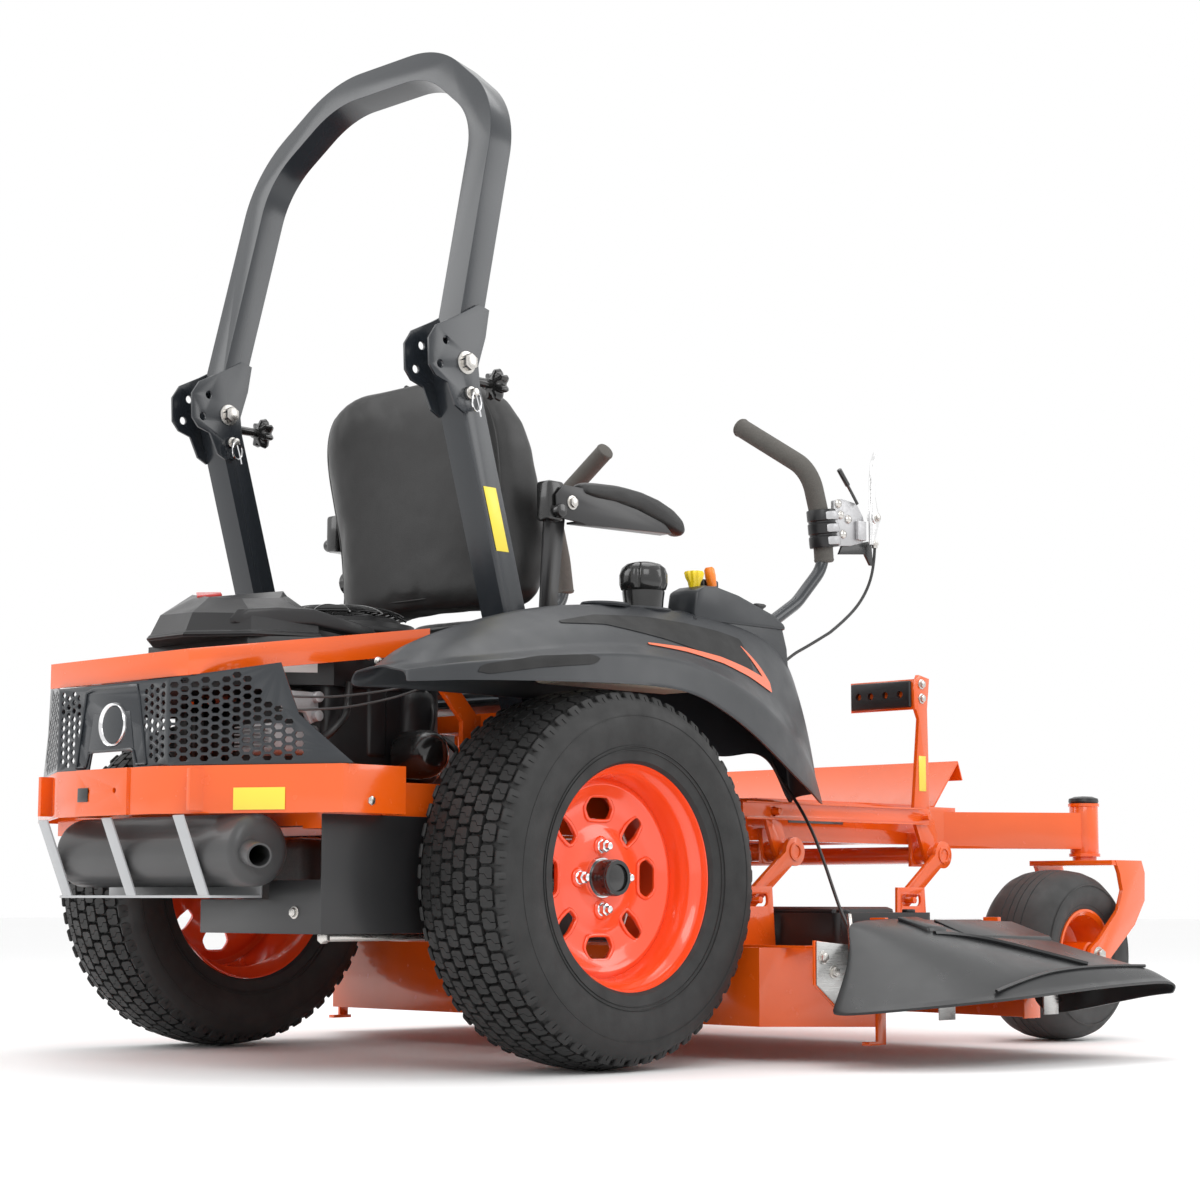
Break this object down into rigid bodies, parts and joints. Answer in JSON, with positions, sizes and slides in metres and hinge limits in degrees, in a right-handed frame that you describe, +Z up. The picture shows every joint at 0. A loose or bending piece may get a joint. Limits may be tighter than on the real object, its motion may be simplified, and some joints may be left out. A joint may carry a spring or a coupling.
{
  "type": "zero turn mower",
  "caption": "Ride-on zero turn mower with rear engine, mid-mounted cutting deck with side discharge chute, two steering levers, front casters and a folding roll bar.",
  "frame": {"origin": "bottom centre of the bounding box, on the ground between the wheels", "axes": "+X forwards, to the front casters; +Y to the left of a seated operator; +Z up"},
  "size_m": [2.053, 1.7002, 1.7744],
  "materials": {
    "frame_paint": "gloss",
    "dark_paint": "satin",
    "wheel_paint": "gloss",
    "moulded_grey": "satin",
    "moulded_black": "satin",
    "cast_alloy": "cast",
    "drive_case": "painted",
    "bare_steel": "brushed",
    "zinc": "plated",
    "tyre_rubber": "matt",
    "vinyl": "grained vinyl over foam",
    "grip_foam": "foam",
    "yellow_plastic": "gloss",
    "orange_plastic": "gloss",
    "cable_jacket": "satin",
    "filter_paint": "gloss"
  },
  "bodies": {
    "chassis": {"main_frame": "frame_paint", "rear_bumper": "frame_paint", "upper_guard": "frame_paint", "guard_grille": "dark_paint", "engine_block": "cast_alloy", "engine_shroud": "moulded_black", "air_cleaner_cover": "moulded_grey", "oil_filter": "filter_paint", "muffler": "dark_paint", "muffler_cage": "dark_paint", "rear_skirt": "dark_paint", "transaxles": "drive_case", "fender_left": "moulded_grey", "fender_right": "moulded_grey", "fuel_tank": "moulded_black", "control_console": "moulded_grey", "rops_posts": "dark_paint", "foot_pan": "frame_paint", "hand_cable_upper": "cable_jacket", "hand_cable_lower": "cable_jacket"},
    "engine_shaft": {"engine_fan_screen": "dark_paint"},
    "fuel_cap": {"fuel_cap": "moulded_black"},
    "pto_knob": {"pto_knob": "yellow_plastic"},
    "throttle_lever": {"throttle_lever": "orange_plastic"},
    "key_switch": {"key_switch": "moulded_black"},
    "seat": {"seat_pan": "dark_paint", "seat_cushion": "vinyl", "seat_back": "vinyl"},
    "armrest_left": {"armrest_left": "vinyl"},
    "armrest_right": {"armrest_right": "vinyl"},
    "roll_bar": {"rops_loop": "dark_paint", "rops_lock_pins": "zinc"},
    "lift_pedal": {"lift_pedal": "frame_paint"},
    "rear_lift_shaft": {"rear_lift_shaft": "frame_paint"},
    "lift_link": {"lift_link": "frame_paint"},
    "deck": {"deck_shell": "frame_paint", "belt_covers": "moulded_black"},
    "discharge_chute": {"discharge_chute": "moulded_black"},
    "chute_blocker": {"chute_blocker": "bare_steel"},
    "hand_lever": {"hand_lever": "dark_paint"},
    "rear_wheel_left": {"rear_tyre_left": "tyre_rubber", "rear_rim_left": "wheel_paint", "wheel_hub_left": "zinc"},
    "caster_swivel_left": {"caster_fork_left": "frame_paint"},
    "caster_wheel_left": {"caster_tyre_left": "tyre_rubber", "caster_rim_left": "wheel_paint"},
    "control_arm_left": {"control_arm_left": "dark_paint"},
    "steering_lever_left": {"steering_lever_left": "dark_paint"},
    "rear_wheel_right": {"rear_tyre_right": "tyre_rubber", "rear_rim_right": "wheel_paint", "wheel_hub_right": "zinc"},
    "caster_swivel_right": {"caster_fork_right": "frame_paint"},
    "caster_wheel_right": {"caster_tyre_right": "tyre_rubber", "caster_rim_right": "wheel_paint"},
    "control_arm_right": {"control_arm_right": "dark_paint"},
    "steering_lever_right": {"steering_lever_right": "dark_paint", "hand_lever_bracket": "zinc"},
    "blade_center": {"blade_center": "bare_steel"},
    "blade_left": {"blade_left": "bare_steel"},
    "blade_right": {"blade_right": "bare_steel"}
  },
  "joints": [
    {"name": "engine_spin", "type": "hinge", "parent": "chassis", "child": "engine_shaft", "pos_m": [-0.5665, 0.11908, 0.745], "axis": [0, 0, 1], "continuous": true},
    {"name": "fuel_cap_turn", "type": "hinge", "parent": "chassis", "child": "fuel_cap", "pos_m": [-0.2115, -0.27093, 0.81], "axis": [0, 0, 1], "range_deg": [0, 300]},
    {"name": "pto_pull", "type": "slide", "parent": "chassis", "child": "pto_knob", "axis": [0, 0, 1], "range_m": [0, 0.015]},
    {"name": "throttle_turn", "type": "hinge", "parent": "chassis", "child": "throttle_lever", "pos_m": [-0.0445, -0.27592, 0.795], "axis": [0, 1, 0], "range_deg": [-20, 20]},
    {"name": "key_turn", "type": "hinge", "parent": "chassis", "child": "key_switch", "pos_m": [0.0885, -0.27592, 0.8], "axis": [0, 0, 1], "range_deg": [0, 60]},
    {"name": "seat_tilt", "type": "hinge", "parent": "chassis", "child": "seat", "pos_m": [0.0135, 0.14408, 0.61], "axis": [0, 1, 0], "range_deg": [0, 30]},
    {"name": "armrest_raise_left", "type": "hinge", "parent": "seat", "child": "armrest_left", "pos_m": [-0.2815, 0.43407, 0.955], "axis": [0, -1, 0], "range_deg": [0, 95]},
    {"name": "armrest_raise_right", "type": "hinge", "parent": "seat", "child": "armrest_right", "pos_m": [-0.2815, -0.14592, 0.955], "axis": [0, -1, 0], "range_deg": [0, 95]},
    {"name": "roll_bar_fold", "type": "hinge", "parent": "chassis", "child": "roll_bar", "pos_m": [-0.572, 0.14408, 1.1505], "axis": [0, -1, 0], "range_deg": [0, 120]},
    {"name": "rear_wheel_spin_left", "type": "hinge", "parent": "chassis", "child": "rear_wheel_left", "pos_m": [-0.4165, 0.63567, 0.305], "axis": [0, 1, 0], "continuous": true},
    {"name": "caster_swivel_left", "type": "hinge", "parent": "chassis", "child": "caster_swivel_left", "pos_m": [0.9635, 0.66707, 0.4], "axis": [0, 0, 1], "continuous": true},
    {"name": "caster_wheel_spin_left", "type": "hinge", "parent": "caster_swivel_left", "child": "caster_wheel_left", "pos_m": [0.8525, 0.66668, 0.165], "axis": [0, 1, 0], "continuous": true},
    {"name": "drive_lever_push_left", "type": "hinge", "parent": "chassis", "child": "control_arm_left", "pos_m": [0.0535, 0.47408, 0.62], "axis": [0, 1, 0], "range_deg": [-10, 15]},
    {"name": "steering_lever_swing_left", "type": "hinge", "parent": "control_arm_left", "child": "steering_lever_left", "pos_m": [0.0595, 0.48907, 0.745], "axis": [-1, 0, 0], "range_deg": [0, 30]},
    {"name": "rear_wheel_spin_right", "type": "hinge", "parent": "chassis", "child": "rear_wheel_right", "pos_m": [-0.4165, -0.34752, 0.305], "axis": [0, 1, 0], "continuous": true},
    {"name": "caster_swivel_right", "type": "hinge", "parent": "chassis", "child": "caster_swivel_right", "pos_m": [0.9635, -0.37893, 0.4], "axis": [0, 0, 1], "continuous": true},
    {"name": "caster_wheel_spin_right", "type": "hinge", "parent": "caster_swivel_right", "child": "caster_wheel_right", "pos_m": [0.8525, -0.37853, 0.165], "axis": [0, 1, 0], "continuous": true},
    {"name": "drive_lever_push_right", "type": "hinge", "parent": "chassis", "child": "control_arm_right", "pos_m": [0.0535, -0.18593, 0.62], "axis": [0, 1, 0], "range_deg": [-10, 15], "deforming": ["hand_cable_upper"]},
    {"name": "steering_lever_swing_right", "type": "hinge", "parent": "control_arm_right", "child": "steering_lever_right", "pos_m": [0.0595, -0.20092, 0.745], "axis": [1, 0, 0], "range_deg": [0, 30], "deforming": ["hand_cable_upper"]},
    {"name": "hand_lever_squeeze", "type": "hinge", "parent": "steering_lever_right", "child": "hand_lever", "pos_m": [0.4785, -0.23592, 1.005], "axis": [0, -1, 0], "range_deg": [0, 30], "deforming": ["hand_cable_upper"]},
    {"name": "deck_lift", "type": "slide", "parent": "chassis", "child": "deck", "axis": [0, 0, 1], "range_m": [-0.018, 0.056], "deforming": ["hand_cable_lower"]},
    {"name": "lift_pedal_turn", "type": "hinge", "parent": "chassis", "child": "lift_pedal", "pos_m": [0.6195, 0.14408, 0.357], "axis": [0, 1, 0], "range_deg": [-8, 25]},
    {"name": "rear_lift_turn", "type": "hinge", "parent": "chassis", "child": "rear_lift_shaft", "pos_m": [0.1735, 0.14408, 0.357], "axis": [0, 1, 0], "range_deg": [-8, 25]},
    {"name": "lift_link_pivot", "type": "hinge", "parent": "lift_pedal", "child": "lift_link", "pos_m": [0.5845, -0.26193, 0.429], "axis": [0, 1, 0], "range_deg": [-25, 8]},
    {"name": "chute_raise", "type": "hinge", "parent": "deck", "child": "discharge_chute", "pos_m": [0.2835, -0.52392, 0.222], "axis": [-1, 0, 0], "range_deg": [0, 85]},
    {"name": "chute_blocker_turn", "type": "hinge", "parent": "deck", "child": "chute_blocker", "pos_m": [0.2885, -0.57193, 0.15], "axis": [1, 0, 0], "range_deg": [0, 90]},
    {"name": "blade_spin_center", "type": "hinge", "parent": "deck", "child": "blade_center", "pos_m": [0.3285, 0.14408, 0.15], "axis": [0, 0, 1], "continuous": true},
    {"name": "blade_spin_left", "type": "hinge", "parent": "deck", "child": "blade_left", "pos_m": [0.1835, 0.59508, 0.15], "axis": [0, 0, 1], "continuous": true},
    {"name": "blade_spin_right", "type": "hinge", "parent": "deck", "child": "blade_right", "pos_m": [0.1835, -0.30693, 0.15], "axis": [0, 0, 1], "continuous": true}
  ],
  "couplings": [
    {"joint": "lift_pedal_turn", "follows": "deck_lift", "rad_per_m": 7.692},
    {"joint": "rear_lift_turn", "follows": "deck_lift", "rad_per_m": 7.692},
    {"joint": "lift_link_pivot", "follows": "deck_lift", "rad_per_m": -7.692},
    {"joint": "chute_blocker_turn", "follows": "hand_lever_squeeze", "ratio": 3},
    {"joint": "blade_spin_left", "follows": "blade_spin_center", "ratio": 1},
    {"joint": "blade_spin_right", "follows": "blade_spin_center", "ratio": 1}
  ]
}
